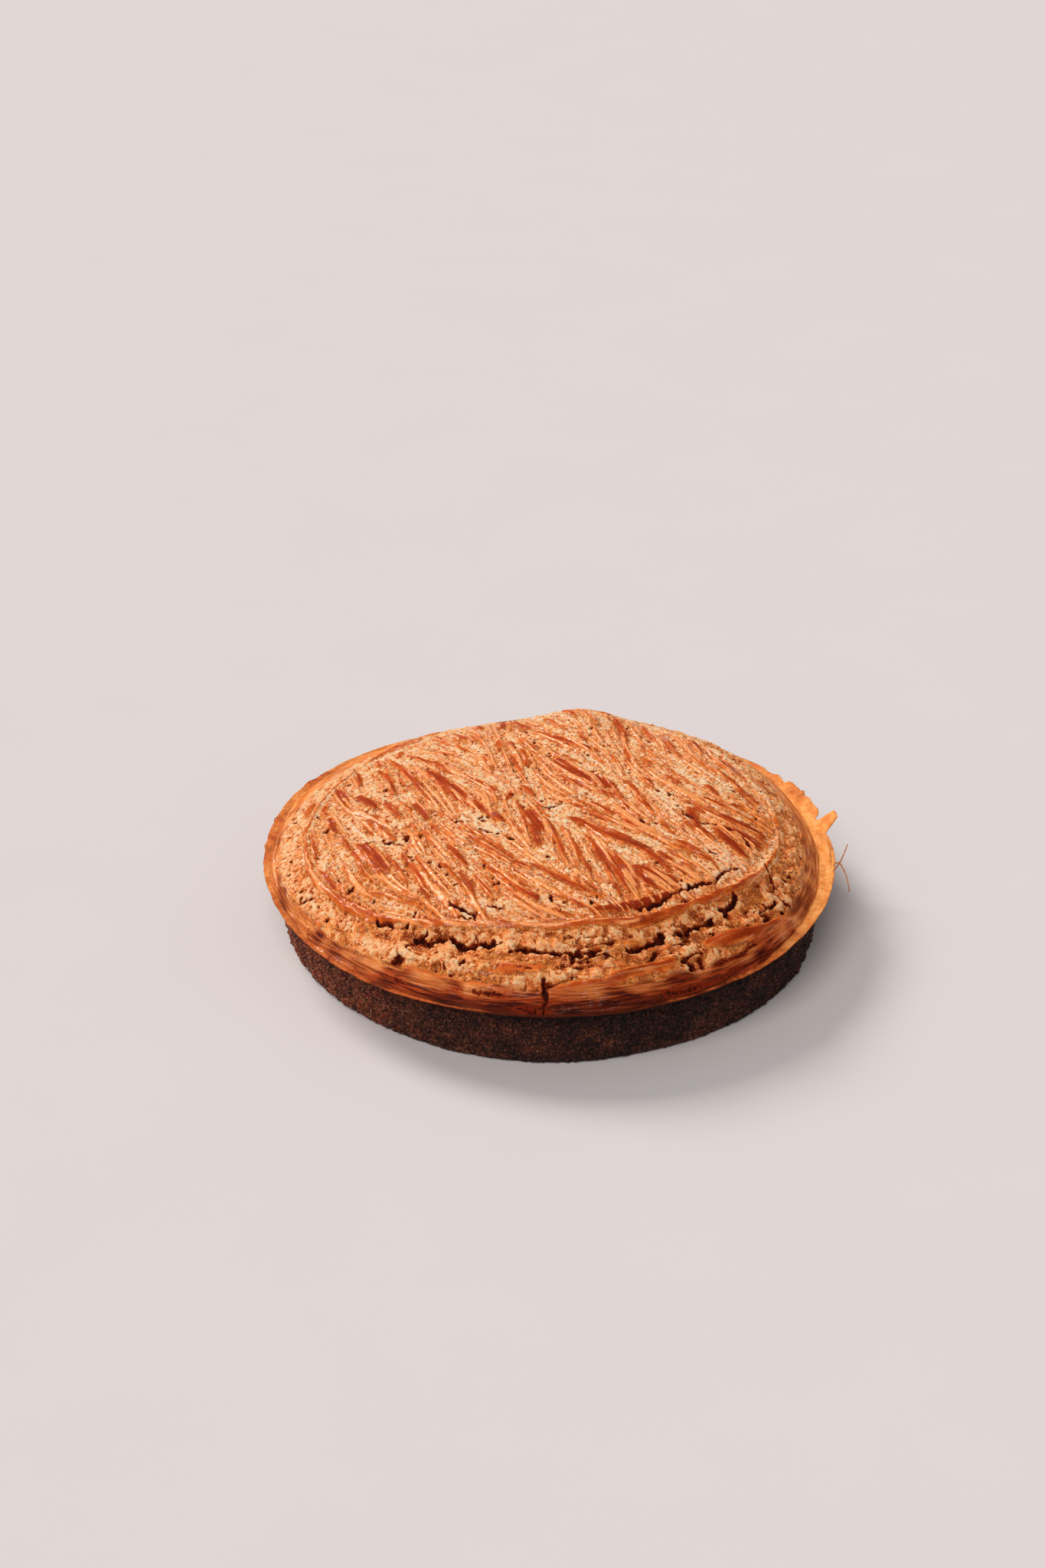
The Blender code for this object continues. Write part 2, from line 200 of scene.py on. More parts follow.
# ---- the top's pieces, and how they overlap and close ----------------------------------------
# Rings of the top: name, points round it, inner and outer radius and step between rows as shares
# of the lip's radius.
BANDS = (
    ("crust_field", 1300, 0.44, 0.722, 0.0046),
    ("crust_torn", 1850, 0.70, 0.87, 0.0036),
    ("crust_lip", 1700, 0.85, 1.0, 0.0038),
)
ROUND_WITHIN = 0.715          # from here in, its outline eases from the lip's wavy one to a circle
FLATTEN_FROM = 0.985          # from here out the relief fades towards the thin edge
FIN_FROM = 0.962              # from here out the crust follows the torn edge
FIN_CURL = 1.3                # how late the torn edge turns up
OVERLAP = 0.012               # width of the rim that dips where one piece runs under the next
DIP = 1.2                     # how far that rim dips
OUTER_SKIRT = (0.99, 6.0)     # the hidden wall under an outer rim: share of the radius, drop
INNER_SKIRT = (1.03, 8.0)     # the same under an inner rim
MIDDLE_SKIRT = (0.985, 6.0)   # the same under the middle piece
MIDDLE_UNDERSIDE = 30.0       # the height where the middle piece's underside meets

# ---- the side --------------------------------------------------------------------------------
SIDE_TOP_DROP = 1.6           # how far below the lip the side starts
SIDE_TOP_REACH = 0.957        # its radius there, as a share of the lip's
STRAIGHT_DOWN_TO = 0.06       # the share of its height where it starts to round under
FOOT_CURVE = ((0.03, 0.25), (0.008, 0.8), (0.0, 1.6))  # then (share of height, how far in)
CAP_RADIUS = 90.0             # the hidden top that closes it: radius of its rim
CAP_RISE = 1.0                # how far that rim stands above the side's top
CAP_PEAK = 28.0               # the height of its middle
CRUMB_INSET = 0.35            # how far in the surface that the crumbs stand on is set

# ---- the grid, and how the strokes lie on it -------------------------------------------------
GRID_STEP = 0.25              # space between the grid's points
GRID_HALF = 106.0             # half the grid's width
SCORE_HEIGHT = 0.72           # how far the glaze stands above the crumb beside it
STRIP_SWELL = 1.22            # the strips are drawn this much wider than they are listed


# ---- small tools -----------------------------------------------------------------------------
def curve_between(t, before, start, end, after):
    """A smooth curve from start (t = 0) to end (t = 1), shaped by the values on either side."""
    bend = 2 * before - 5 * start + 4 * end - after
    twist = 3 * start - before - 3 * end + after
    return 0.5 * (2 * start + (end - before) * t + bend * t ** 2 + twist * t ** 3)


def around(values, angle):
    """Read a smooth closed curve through evenly spaced values at an angle in radians."""
    values = np.asarray(values, dtype=float)
    count = len(values)
    place = (np.asarray(angle) / TAU) % 1.0 * count
    index = np.floor(place).astype(int)
    t = place - index
    return curve_between(t, *(values[(index + step) % count] for step in (-1, 0, 1, 2)))


def swell(distance, width):
    """A smooth bump of height one, centred on distance zero."""
    return np.exp(-(distance / width) ** 2)


def ramp(low, high, value):
    """Ease from 0 at low to 1 at high."""
    t = np.clip((value - low) / (high - low), 0.0, 1.0)
    return t * t * (3 - 2 * t)


def ripple(waves, angle):
    """Add up (waves a turn, phase, size) sines."""
    return sum(size * np.sin(count * angle + phase) for count, phase, size in waves)


def turn_between(angle, start, end):
    """How far an angle lies from start (0) to end (1), all in degrees, wrapping once round."""
    middle = (start + end) / 2
    off = (angle - middle + 180) % 360 - 180
    return off / (end - start) + 0.5


# ---- repeatable noise ------------------------------------------------------------------------
def chance(seed, *cells):
    """A number from 0 to 1 for each lattice cell, always the same for the same seed."""
    mask = np.uint64(0xFFFFFFFF)
    h = np.full(np.shape(cells[0]), (seed * 2654435761 + SEED * 40503) & 0xFFFFFFFF, dtype=np.uint64)
    for factor, cell in zip((73856093, 19349663, 83492791), cells):
        h = (h ^ (cell.astype(np.int64).astype(np.uint64) * np.uint64(factor))) & mask
        h = ((h ^ (h >> np.uint64(15))) * np.uint64(2246822519)) & mask
    h = ((h ^ (h >> np.uint64(13))) * np.uint64(3266489917)) & mask
    return ((h ^ (h >> np.uint64(16))) & np.uint64(0xFFFFFF)).astype(float) / 0x1000000


def noise(size, seed, *where):
    """Smooth noise from -1 to 1 whose features are about size across, in two or three dimensions."""
    scaled = [part / size for part in where]
    base = [np.floor(part) for part in scaled]
    ease = [(part - low) ** 2 * (3 - 2 * (part - low)) for part, low in zip(scaled, base)]
    total = 0.0
    for corner in range(2 ** len(where)):
        weight = 1.0
        cell = []
        for axis, (low, t) in enumerate(zip(base, ease)):
            step = corner >> axis & 1
            weight = weight * (t if step else 1 - t)
            cell.append(low + step)
        total = total + weight * chance(seed, *cell)
    return 2 * total - 1


def fractal(size, octaves, seed, *where):
    """Noise with finer and finer layers, still about -1 to 1."""
    total = 0.0
    weight = 1.0
    reach = 0.0
    for octave in range(octaves):
        total = total + weight * noise(size / 2 ** octave, seed + octave, *where)
        reach += weight
        weight *= 0.55
    return total / reach


def lumps(size, seed, *where):
    """Distance to the nearest of scattered points, and that point's own number."""
    scaled = [part / size for part in where]
    base = [np.floor(part) for part in scaled]
    nearest = np.full(np.shape(where[0]), 9.0)
    own = np.zeros(np.shape(where[0]))
    for corner in range(3 ** len(where)):
        cell = [low + corner // 3 ** axis % 3 - 1 for axis, low in enumerate(base)]
        far = 0.0
        for axis, part in enumerate(scaled):
            point = cell[axis] + chance(seed + 11 * (axis + 1), *cell)
            far = far + (part - point) ** 2
        far = np.sqrt(far)
        closer = far < nearest
        own = np.where(closer, chance(seed + 77, *cell), own)
        nearest = np.where(closer, far, nearest)
    return nearest, own


# ---- the grid over the top -------------------------------------------------------------------
AXIS = np.arange(-GRID_HALF, GRID_HALF + GRID_STEP / 2, GRID_STEP)
GX, GY = np.meshgrid(AXIS, AXIS)
ANGLE = np.arctan2(GY, GX)
DEGREES = np.degrees(ANGLE) % 360
RADIUS = np.hypot(GX, GY)


def read_grid(field, x, y):
    """Read a grid field between its points."""
    column = np.clip((x + GRID_HALF) / GRID_STEP, 0, len(AXIS) - 1.001)
    row = np.clip((y + GRID_HALF) / GRID_STEP, 0, len(AXIS) - 1.001)
    c = column.astype(int)
    r = row.astype(int)
    u = column - c
    v = row - r
    low = field[r, c] * (1 - u) + field[r, c + 1] * u
    high = field[r + 1, c] * (1 - u) + field[r + 1, c + 1] * u
    return low * (1 - v) + high * v


def blur(field, width):
    """Soften a grid field with a Gaussian of that width."""
    wave = np.fft.fftfreq(len(AXIS), GRID_STEP)
    keep = np.exp(-2 * (math.pi * width * wave) ** 2)
    return np.fft.ifft2(np.fft.fft2(field) * keep[:, None] * keep[None, :]).real


def stroke_points(stroke, count=9):
    """Points along a bowed stroke."""
    x0, y0, x1, y1, bow, _ = stroke
    start = np.array((x0, y0), float)
    end = np.array((x1, y1), float)
    along = end - start
    left = np.array((-along[1], along[0])) / np.hypot(*along)
    t = np.linspace(0, 1, count)[:, None]
    return start + along * t + left * bow * 4 * t * (1 - t)


def near_stroke(points, x, y):
    """Distance to a line of points, and how far along it the nearest point lies."""
    best = np.full(x.shape, 1e9)
    where = np.zeros(x.shape)
    parts = len(points) - 1
    for index in range(parts):
        a = points[index]
        step = points[index + 1] - a
        t = np.clip(((x - a[0]) * step[0] + (y - a[1]) * step[1]) / (step @ step), 0, 1)
        far = np.hypot(x - a[0] - t * step[0], y - a[1] - t * step[1])
        closer = far < best
        best = np.where(closer, far, best)
        where = np.where(closer, (index + t) / parts, where)
    return best, where


def grid_window(points, margin):
    """The part of the grid that a stroke reaches."""
    low = np.floor((points.min(axis=0) - margin + GRID_HALF) / GRID_STEP).astype(int)
    high = np.ceil((points.max(axis=0) + margin + GRID_HALF) / GRID_STEP).astype(int) + 1
    low = np.clip(low, 0, len(AXIS))
    high = np.clip(high, 0, len(AXIS))
    return slice(low[1], high[1]), slice(low[0], high[0])


def paint_strokes(strokes, x, y, blunt, swollen=1.0):
    """How far inside the nearest stroke each grid point lies, and how far along it (0 to 1)."""
    inside = np.full(GX.shape, -4.0)
    end = np.zeros(GX.shape)
    for stroke in strokes:
        points = stroke_points(stroke)
        window = grid_window(points, stroke[5] / 2 + 4)
        far, along = near_stroke(points, x[window], y[window])
        half = swollen * stroke[5] / 2 * np.clip(4 * along * (1 - along), 0.02, 1) ** blunt
        mine = half - far
        end[window] = np.where(mine > inside[window], along, end[window])
        inside[window] = np.maximum(inside[window], mine)
    return inside, end


def stroke_flow(strokes, reach):
    """The direction of the nearby strokes, as a unit vector field."""
    flow_x = np.full(GX.shape, 1e-6 * 0.45)
    flow_y = np.full(GX.shape, -1e-6 * 0.89)
    for stroke in strokes:
        points = stroke_points(stroke, 4)
        window = grid_window(points, 3 * reach)
        far, _ = near_stroke(points, GX[window], GY[window])
        along = points[-1] - points[0]
        along = along / np.hypot(*along)
        weight = np.exp(-(far / reach) ** 2)
        flow_x[window] += weight * along[0]
        flow_y[window] += weight * along[1]
    size = np.hypot(flow_x, flow_y)
    return flow_x / size, flow_y / size


def drag(field, flow_x, flow_y, steps, stride):
    """Smear a field along the flow, as a fork drags dough."""
    total = field.copy()
    for way in (1, -1):
        x = GX.copy()
        y = GY.copy()
        for _ in range(steps):
            dx = read_grid(flow_x, x, y)
            dy = read_grid(flow_y, x, y)
            x += way * stride * dx
            y += way * stride * dy
            total += read_grid(field, x, y)
    total -= total.mean()
    return total / total.std()


def arc_strength(arcs, ragged, wide=1.0, taper=0.14):
    """Grid field of arcs: each is as strong as listed at its middle, and fades across and at its ends."""
    field = np.zeros(GX.shape)
    for start, end, from_radius, to_radius, width, height in arcs:
        t = turn_between(DEGREES, start, end)
        inside = ramp(-0.02, taper, t) * (1 - ramp(1 - taper, 1.02, t))
        middle = from_radius + (to_radius - from_radius) * np.clip(t, 0, 1)
        across = RADIUS - middle + ragged
        field = np.maximum(field, height * inside * swell(across, wide * width * (0.5 + 0.4 * inside)))
    return field


# ---- the fields ------------------------------------------------------------------------------
def make_fields():
    """Work out what the top is like at each point of the grid.

    height is the relief.  glaze is above 0 where egg wash lies.  depth is 0 to 1 in splits and pits,
    and in grooves round the band; the material paints it dark as shade.  bake runs from pale (0) to
    scorched (1.4), and on the band and the flange its rise towards the front is partly painted shade.
    band, flange and outer say which zone a point is in.  hollow is how far it lies below what is around
    it, and the material paints it as shade.  hoop and streak are marks round the rim and along the
    strokes; streak also brings a painted highlight to the ring's top.  loose is how much the crumb
    there is heaped up.
    """
    from_ring = RADIUS - around(RING_RADIUS, ANGLE)
    ring_strength = around(RING_STRENGTH, ANGLE)
    tear = around(TEAR_STRENGTH, ANGLE)
    flange_edge = 100 * lip_reach(ANGLE) - around(FLANGE_WIDTH, ANGLE)
    band_edge = flange_edge - around(BAND_WIDTH, ANGLE)
    band_bake_and_shade = around(BAND_BAKE_AND_SHADE, ANGLE)

    warp_x = 0.55 * noise(7, 1, GX, GY) + 0.18 * noise(2.2, 2, GX, GY)
    warp_y = 0.55 * noise(7, 3, GX, GY) + 0.18 * noise(2.2, 4, GX, GY)
    x = GX + warp_x
    y = GY + warp_y
    wobble = 0.7 * noise(9, 12, GX, GY) + 0.3 * noise(3, 13, GX, GY)
    inner = 1 - ramp(-2.6, -1.2, from_ring + wobble)

    rise = dome_height(ANGLE, np.clip(RADIUS / (100 * lip_reach(ANGLE)), 0, 1))
    down = RADIUS - rise

    # glaze left between the tines, the patches they missed, and faint grooves along the strokes
    flow_x, flow_y = stroke_flow(STRIPS, 7.0)
    grain = chance(6, np.round(GX / GRID_STEP), np.round(GY / GRID_STEP)) - 0.5
    streak = drag(blur(grain, 0.40), flow_x, flow_y, 20, 0.5)
    fine_streak = drag(blur(grain, 0.22), flow_x, flow_y, 9, 0.4)
    strips, end = paint_strokes(STRIPS, x, y, 0.32, STRIP_SWELL)
    patches, _ = paint_strokes(PATCHES, x, y, 0.25)
    worn = 0.5 * np.clip(noise(2.6, 9, x, y), 0, 1) + 0.3 * np.clip(streak - 0.4, 0, 1.5) * (strips > 0.9)
    combed = noise(11, 8, GX, GY)
    faint = np.minimum(0.6 * (streak - 0.62 - 0.5 * combed), 0.45)
    glaze = np.maximum(np.maximum(strips - worn, patches - 0.4 * np.abs(streak)), faint)
    glaze += 0.16 * fine_streak * inner + 0.30 * noise(1.2, 10, GX, GY)
    glaze = glaze * inner - 4 * (1 - inner)
    pooled = ramp(0.62, 1.0, end) * ramp(-0.4, 0.3, strips) * inner
    pooled *= 0.35 + 0.65 * ramp(20, 55, RADIUS)

    # the raised ring and the broken ridges outside it keep their glaze
    ring_half = 1.75 * ring_strength * (1 + 0.35 * noise(6, 14, GX, GY)) - 0.15
    ring_glaze = np.minimum(ring_half - np.abs(from_ring + wobble), 0.9) + 0.25 * noise(1.6, 11, GX, GY)
    ridges = arc_strength(RIDGE_ARCS, wobble)
    glaze = np.maximum(glaze, np.maximum(ring_glaze, np.minimum(2.2 * (ridges - 0.28), 1.3)))
    scraps = 2.2 * (fractal(3.6, 2, 17, ANGLE * 26, RADIUS + wobble) - 0.5) * ramp(0.3, 0.9, 1 - inner)
    glaze = np.maximum(glaze, np.where(inner < 0.5, scraps, -4))

    # The ring's top, except at the right, joins the streak field: gloss, and a painted highlight in its
    # colour.
    ring_top = ring_strength * swell(from_ring + wobble, 1.0) * (1 - ramp(-0.2, 0.6, np.cos(ANGLE)))

    # the glossy band outside the tear, and the thin flange at the edge
    band = ramp(-0.7, 0.6, RADIUS - band_edge + 0.8 * noise(4, 15, GX, GY))
    flange = ramp(-0.45, 0.45, RADIUS - flange_edge + 0.3 * noise(4, 16, GX, GY))
    fine_hoop = noise(1.0, 19, ANGLE * 9, down / 0.8 + wobble)
    hoop = 0.8 * noise(1.0, 18, ANGLE * 5, down / 1.6 + wobble) + 0.9 * fine_hoop

    # the crumb: grains heaped in lumps, coarser where the crust tore
    rough = (1 - ramp(-0.25, 0.35, glaze)) * (1 - band)
    torn = tear * ramp(0.6, 1.9, from_ring)
    outer = ramp(-1.0, 3.0, from_ring)
    near, _ = lumps(1.6, 21, GX + 0.5 * noise(1.7, 22, GX, GY), GY + 0.5 * noise(1.7, 23, GX, GY), rise)
    soft = fractal(4.5, 3, 33, GX, GY, rise)
    crumb = (0.45 + 0.25 * outer) * (0.5 - near) + 0.32 * noise(0.9, 31, GX, GY, rise) + 0.40 * soft
    gash = fractal(6.0, 3, 45, ANGLE * 30, RADIUS * 1.15 + 0.5 * warp_x)
    gash = ramp(0.10, 0.0, np.abs(gash)) * ramp(-0.1, 0.35, noise(9, 47, GX, GY))
    gash = gash * ramp(0.1, 0.6, tear) * ramp(1.5, 3.0, from_ring) * (1 - band)

    # pits, pores and cracks
    crowd = noise(8, 50, GX, GY)
    pit = ramp(0.62, 0.86, -fractal(2.6, 3, 51, x, y) * 1.25 + 0.22 * crowd)
    pore = ramp(0.50, 0.80, -fractal(1.3, 2, 54, x, y) + 0.20 * crowd)
    ragged_x = x + 0.5 * noise(1.2, 61, GX, GY)
    ragged_y = y + 0.5 * noise(1.2, 62, GX, GY)
    cracks, _ = paint_strokes(CRACKS, ragged_x, ragged_y, 0.5)
    crack = ramp(-0.5, 0.55, cracks)
    for pit_x, pit_y, size in PITS:
        far = np.hypot(ragged_x - pit_x, (ragged_y - pit_y) * 1.2)
        crack = np.maximum(crack, 1 - ramp(0.35 * size, 1.1 * size, far))
    sag = 1.1 * noise(1.0, 63, ANGLE * 11, RADIUS / 4) + 0.7 * noise(1.0, 64, ANGLE * 40, RADIUS / 1.6)
    arcs = arc_strength(TEAR_ARCS, sag, 0.62, 0.16)
    trough = arc_strength(TEAR_ARCS, sag - 1.6, 2.6, 0.3)
    torn_edge = 0.5 * noise(1.0, 65, ANGLE * 8, RADIUS / 3.0) + 0.7 * noise(2.0, 66, GX, GY, rise)
    torn_edge += 0.9 * noise(0.9, 68, GX, GY, rise)
    gap = ramp(0.3, 1.6, arcs + torn_edge) * ramp(0.2, 0.8, arcs)
    # Grooves round the band, mostly at the front: a dip in the relief, painted dark as shade through depth.
    hoop_line = ramp(0.42, 0.12, np.abs(noise(1.0, 73, ANGLE * 4.5, down / 2.2 + 0.7 * wobble)))
    hoop_line *= ramp(-0.3, 0.3, noise(1.0, 74, ANGLE * 8, down / 4)) * band * (1 - flange)
    hoop_line *= 0.08 + 0.92 * ramp(0.5, 0.95, band_bake_and_shade)

    height = SCORE_HEIGHT * (1 - (1 - ramp(-0.35, 0.95, glaze)) ** 1.5) - 0.32 * inner
    height += 0.22 * pooled + 0.45 * fractal(15, 2, 67, GX, GY) * (1 - band)
    height += 0.10 * fine_streak * inner * (0.35 + 0.65 * rough) + 0.09 * streak * inner
    height += rough * crumb * (1 - torn)
    height += 0.85 * ring_strength * swell(from_ring + wobble, 1.5) + 0.7 * ridges
    height -= 0.7 * ring_strength * swell(from_ring + 3.6, 1.6)
    height -= 0.8 * tear * swell(from_ring - 6.0, 3.6)
    height += 0.8 * tear * swell(RADIUS - band_edge + 3.5, 3.0)
    height -= 0.15 * swell(RADIUS - flange_edge + 0.5, 0.8) * ramp(1.2, 3.0, around(FLANGE_WIDTH, ANGLE))
    height += 0.24 * hoop * band * (1 - 0.8 * flange) + 0.07 * noise(4, 72, GX, GY) * flange
    height -= 0.40 * hoop_line
    open_crumb = rough + 0.25 * (1 - rough)
    height -= 0.8 * pit * open_crumb + (0.25 + 0.3 * outer) * pore * rough
    height -= 1.1 * crack + 0.45 * trough + 1.2 * gap + 0.9 * gash * rough

    # depth: splits, gaps, pits, pores and grooves, which the material paints dark as shade.
    depth = np.maximum.reduce([
        (0.75 + 0.2 * tear) * crack,
        gap * np.clip(0.9 + 0.35 * noise(1.6, 69, GX, GY), 0, 1),
        0.7 * pit * open_crumb,
        0.45 * pore * rough,
        0.9 * gash * rough,
        0.75 * hoop_line,
    ])
    # hollow: how far a point lies below its neighbours, plus a band below the tear; the material paints it as
    # shade.
    hollow = blur(height, 1.0) - height + 0.12 * trough * rough

    bake_and_shade = 0.45 + 0.4 * fractal(14, 3, 81, GX, GY)
    bake_and_shade += 0.3 * swell(from_ring + 7, 5) * ramp(0.2, 0.9, ring_strength)
    bake_and_shade += 0.2 * ramp(0.2, 0.8, np.cos(ANGLE + 0.25)) * ramp(45, 75, RADIUS)
    bake_and_shade += 0.55 * pooled
    # The band's browning, darker towards the front and the lip's edge partly as painted shade.
    browned_and_shaded = band_bake_and_shade + 0.25 * noise(5, 83, GX, GY)
    browned_and_shaded += 0.7 * ramp(0.7, 1.0, band_bake_and_shade) * (ramp(-3.0, -0.8, RADIUS - flange_edge) - 0.4)
    bake_and_shade = bake_and_shade * (1 - band) + browned_and_shaded * band
    bake_and_shade = bake_and_shade * (1 - flange) + (around(FLANGE_BAKE_AND_SHADE, ANGLE) + 0.25 * noise(5, 83, GX, GY)) * flange
    right = ramp(0.2, 0.8, np.cos(ANGLE))
    return {
        "height": height,
        "glaze": glaze,
        "depth": depth,
        "bake_and_shade": np.clip(bake_and_shade, 0, 1.4),
        "band": band,
        "flange": flange,
        "outer": outer * (1 - 0.45 * ramp(0.0, 0.7, -np.cos(ANGLE)) * (1 - 0.5 * tear)),
        "hollow": hollow,
        "hoop": hoop + 2.4 * ridges,
        # streak: lines along the strokes and round the rim, plus the painted highlight on the ring's top.
        "streak": (
            (0.65 * streak + 0.95 * fine_streak) * inner + 1.8 * fine_hoop * (1 - inner) + 1.6 * ring_top
        ),
        "loose": rough * (0.12 * inner + (0.4 * outer + 0.3 * right + 0.6 * torn) * (1 - inner)),
    }


# ---- the smooth shape under the fields -------------------------------------------------------
def dome_height(angle, radius):
    """Height of the smooth top at an angle and a fraction of the lip's radius."""
    inside = np.clip(radius / (1 - 0.01 * around(FLANGE_WIDTH, angle)), 0.0, 1.0)
    blend = inside ** 2
    shoulder = CENTRE_SHOULDER * (1 - blend) + around(SHOULDER_HEIGHT, angle) * blend
    lip = around(LIP_HEIGHT, angle)
    height = lip + (shoulder - lip) * (1 - inside ** DOME_SQUARENESS) + CROWN_SWELL * (1 - blend)
    across = (radius * 100 * np.cos(angle) - HUMP["x"]) / HUMP["wide"]
    back = (radius * 100 * np.sin(angle) - HUMP["y"]) / HUMP["deep"]
    return height + HUMP["height"] * np.exp(-across ** 2 - back ** 2)


def lip_reach(angle):
    """The lip's radius at an angle, as a share of its nominal one."""
    return around(LIP_REACH, angle) + ripple(EDGE_RIPPLES, angle)


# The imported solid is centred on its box, so the cake's own centre is moved to match, and the width
# of its box gives the size of a unit in metres.
TURN = np.linspace(0, TAU, 721)[:-1]
OUTLINE = np.stack([lip_reach(TURN) * np.cos(TURN), lip_reach(TURN) * np.sin(TURN)])
CENTRE = 100 * (OUTLINE.min(axis=1) + OUTLINE.max(axis=1)) / 2
cake_low, cake_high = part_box("cake")
UNIT = (cake_high.x - cake_low.x) / (OUTLINE[0].max() - OUTLINE[0].min()) / 100
FIELDS = make_fields()


def fin_shape(angle):
    """How far the crust's thin edge reaches out and stands up at each angle, in units."""
    degrees = (np.degrees(angle) + 180) % 360 - 180
    table = np.array(FIN)
    reach = np.interp(degrees, table[:, 0], table[:, 1])
    lift = np.interp(degrees, table[:, 0], table[:, 2])
    jagged = 0.12 + 0.22 * swell(degrees - 28, 14)
    place = degrees * 1.75
    ragged = jagged * (noise(2.6, 91, place, 0 * place) + 0.5 * noise(0.9, 92, place, 0 * place))
    for place, out, up, width in EDGE_TEETH:
        tooth = swell((degrees - place + 180) % 360 - 180, width)
        reach = reach + out * tooth
        lift = lift + up * tooth
    return reach + ragged, lift + 0.5 * np.abs(ragged) * (lift > 0.1)


def crust_points(angle, radius):
    """Points of the top, without its loose crumbs, at angles and fractions of the lip's radius."""
    middle = 1 - np.clip(radius / ROUND_WITHIN, 0.0, 1.0) ** 2
    reach = lip_reach(angle) * (1 - middle) + middle
    x = 100 * radius * reach * np.cos(angle)
    y = 100 * radius * reach * np.sin(angle)
    fade = 1 - 0.85 * ramp(FLATTEN_FROM, 1.0, radius)
    z = dome_height(angle, radius) + read_grid(FIELDS["height"], x, y) * fade
    edge = ramp(FIN_FROM, 1.0, radius)
    out, up = fin_shape(angle)
    return x + out * edge * np.cos(angle), y + out * edge * np.sin(angle), z + up * edge ** FIN_CURL


def crumble(x, y, z):
    """Heaped crumbs at any place in space: how far they stand out, and how deep their creases are."""
    x = x + 0.8 * noise(3.1, 101, x, y, z)
    y = y + 0.8 * noise(3.1, 102, x, y, z)
    wide, _ = lumps(4.4, 103, x, y, z)
    middling, _ = lumps(2.0, 105, x, y, z)
    small, _ = lumps(1.1, 107, x, y, z)
    fine = 0.35 + 0.65 * ramp(-0.3, 0.4, noise(6.0, 108, x, y, z))
    push = 1.7 * (0.52 - wide) + 1.0 * (0.52 - middling) * fine + 0.65 * (0.52 - small) * fine
    crease = 0.45 * ramp(0.45, 0.9, wide)
    crease += (0.45 * ramp(0.45, 0.9, middling) + 0.4 * ramp(0.45, 0.9, small)) * fine
    return push, crease


def push_out(rows, amount):
    """Move a closed band of points along its surface's normals; amount is one number a point."""
    shape = np.stack(rows)
    along = np.roll(shape, -1, axis=1) - np.roll(shape, 1, axis=1)
    across = np.gradient(shape, axis=0)
    normal = np.cross(across, along)
    normal /= np.linalg.norm(normal, axis=2, keepdims=True)
    return shape + normal * amount[:, :, None]


# ---- meshes ----------------------------------------------------------------------------------
def grid_faces(rows, columns, closed):
    """Quads between rows of points; closed joins the last column to the first."""
    row = np.arange(rows - 1)[:, None]
    column = np.arange(columns if closed else columns - 1)[None, :]
    after = (column + 1) % columns
    here = row * columns
    below = (row + 1) * columns
    return np.stack([here + column, below + column, below + after, here + after], axis=-1).reshape(-1, 4)


def skirt_below(rim, skirt):
    """A row of points under a rim, drawn in (or out) by a share and dropped."""
    share, drop = skirt
    return rim * np.array([share, share, 1.0]) - np.array([0.0, 0.0, drop])


def join_rows(first, second):
    """Quads between two closed rows, given as point numbers."""
    return np.stack([first, second, np.roll(second, -1), np.roll(first, -1)], axis=1)


def make_piece(name, points, quads, triangles, fields, material):
    """Make a mesh piece from points in units, with point attributes for its material."""
    mesh = bpy.data.meshes.new(name)
    loops = np.concatenate([quads.ravel(), triangles.ravel()]).astype(np.int32)
    starts = np.concatenate([
        np.arange(len(quads)) * 4,
        len(quads) * 4 + np.arange(len(triangles)) * 3,
    ]).astype(np.int32)
    world = (points - np.array([CENTRE[0], CENTRE[1], 0.0])) * UNIT
    mesh.vertices.add(len(points))
    mesh.vertices.foreach_set("co", world.astype(np.float32).ravel())
    mesh.loops.add(len(loops))
    mesh.loops.foreach_set("vertex_index", loops)
    mesh.polygons.add(len(starts))
    mesh.polygons.foreach_set("loop_start", starts)
    mesh.update(calc_edges=True)
    mesh.validate()
    mesh.shade_smooth()
    for key, values in fields.items():
        attribute = mesh.attributes.new(key, "FLOAT", "POINT")
        attribute.data.foreach_set("value", np.asarray(values, dtype=np.float32).ravel())
    mesh.materials.append(material)
    piece = bpy.data.objects.new(name, mesh)
    bpy.context.scene.collection.objects.link(piece)
    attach(piece, "root")
    return piece


SHOWN_FIELDS = ("glaze", "depth", "bake_and_shade", "band", "flange", "outer", "hollow", "hoop", "streak")


def top_fields(x, y):
    """The fields that a material reads, at places on the top."""
    return {key: read_grid(FIELDS[key], x, y) for key in SHOWN_FIELDS}


